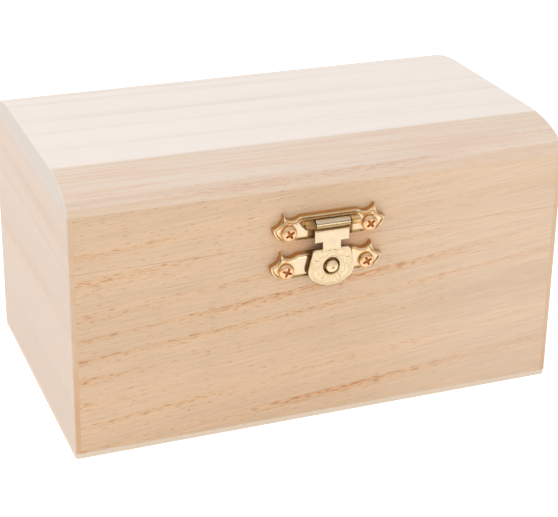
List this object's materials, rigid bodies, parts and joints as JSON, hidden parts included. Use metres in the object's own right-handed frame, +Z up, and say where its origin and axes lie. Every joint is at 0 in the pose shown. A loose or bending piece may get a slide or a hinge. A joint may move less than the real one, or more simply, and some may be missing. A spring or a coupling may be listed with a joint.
{
  "type": "wooden money box",
  "caption": "Small rectangular wooden money box with a hinged lid, a top board rounded at the front and back, a stamped hasp on the front and butt hinges at the back.",
  "frame": {"origin": "middle of the underside of the base board", "axes": "+X to the right along the long side seen from the hasp side, +Y to the back with the hasp facing -Y, +Z up"},
  "size_m": [0.14, 0.0923, 0.076],
  "materials": {
    "wood_top": "sanded pale paulownia, bare",
    "wood_front": "sanded tan paulownia with long pores, bare",
    "wood_end": "sanded paulownia, bare",
    "wood_base": "thin pale board, bare",
    "polished_hasp": "bright plated stamped steel, pale gold",
    "hinge_brass": "bright plated stamped steel",
    "pin_steel": "plated wire",
    "copper_screws": "plated screws, copper toned"
  },
  "bodies": {
    "box": {"base_board": "wood_base", "box_front_panel": "wood_front", "box_back_panel": "wood_front", "box_left_end": "wood_end", "box_right_end": "wood_end", "keeper_plate": "polished_hasp", "keeper_stud": "polished_hasp", "keeper_screws": "copper_screws", "left_hinge_box_leaf": "hinge_brass", "left_hinge_pin": "pin_steel", "right_hinge_box_leaf": "hinge_brass", "right_hinge_pin": "pin_steel", "hinge_box_screws": "hinge_brass"},
    "lid": {"lid_top_board": "wood_top", "lid_front_rail": "wood_front", "lid_back_rail": "wood_front", "lid_left_end": "wood_end", "lid_right_end": "wood_end", "hasp_plate": "polished_hasp", "hasp_pin": "pin_steel", "hasp_screws": "copper_screws", "left_hinge_lid_leaf": "hinge_brass", "right_hinge_lid_leaf": "hinge_brass", "hinge_lid_screws": "hinge_brass"},
    "tongue": {"hasp_tongue": "polished_hasp"}
  },
  "joints": [
    {"name": "lid_hinge", "type": "hinge", "parent": "box", "child": "lid", "pos_m": [0, 0.044, 0.053], "axis": [-1, 0, 0], "range_deg": [0, 175]},
    {"name": "tongue_hinge", "type": "hinge", "parent": "lid", "child": "tongue", "pos_m": [0, -0.04545, 0.059], "axis": [-1, 0, 0], "range_deg": [0, 170]}
  ]
}
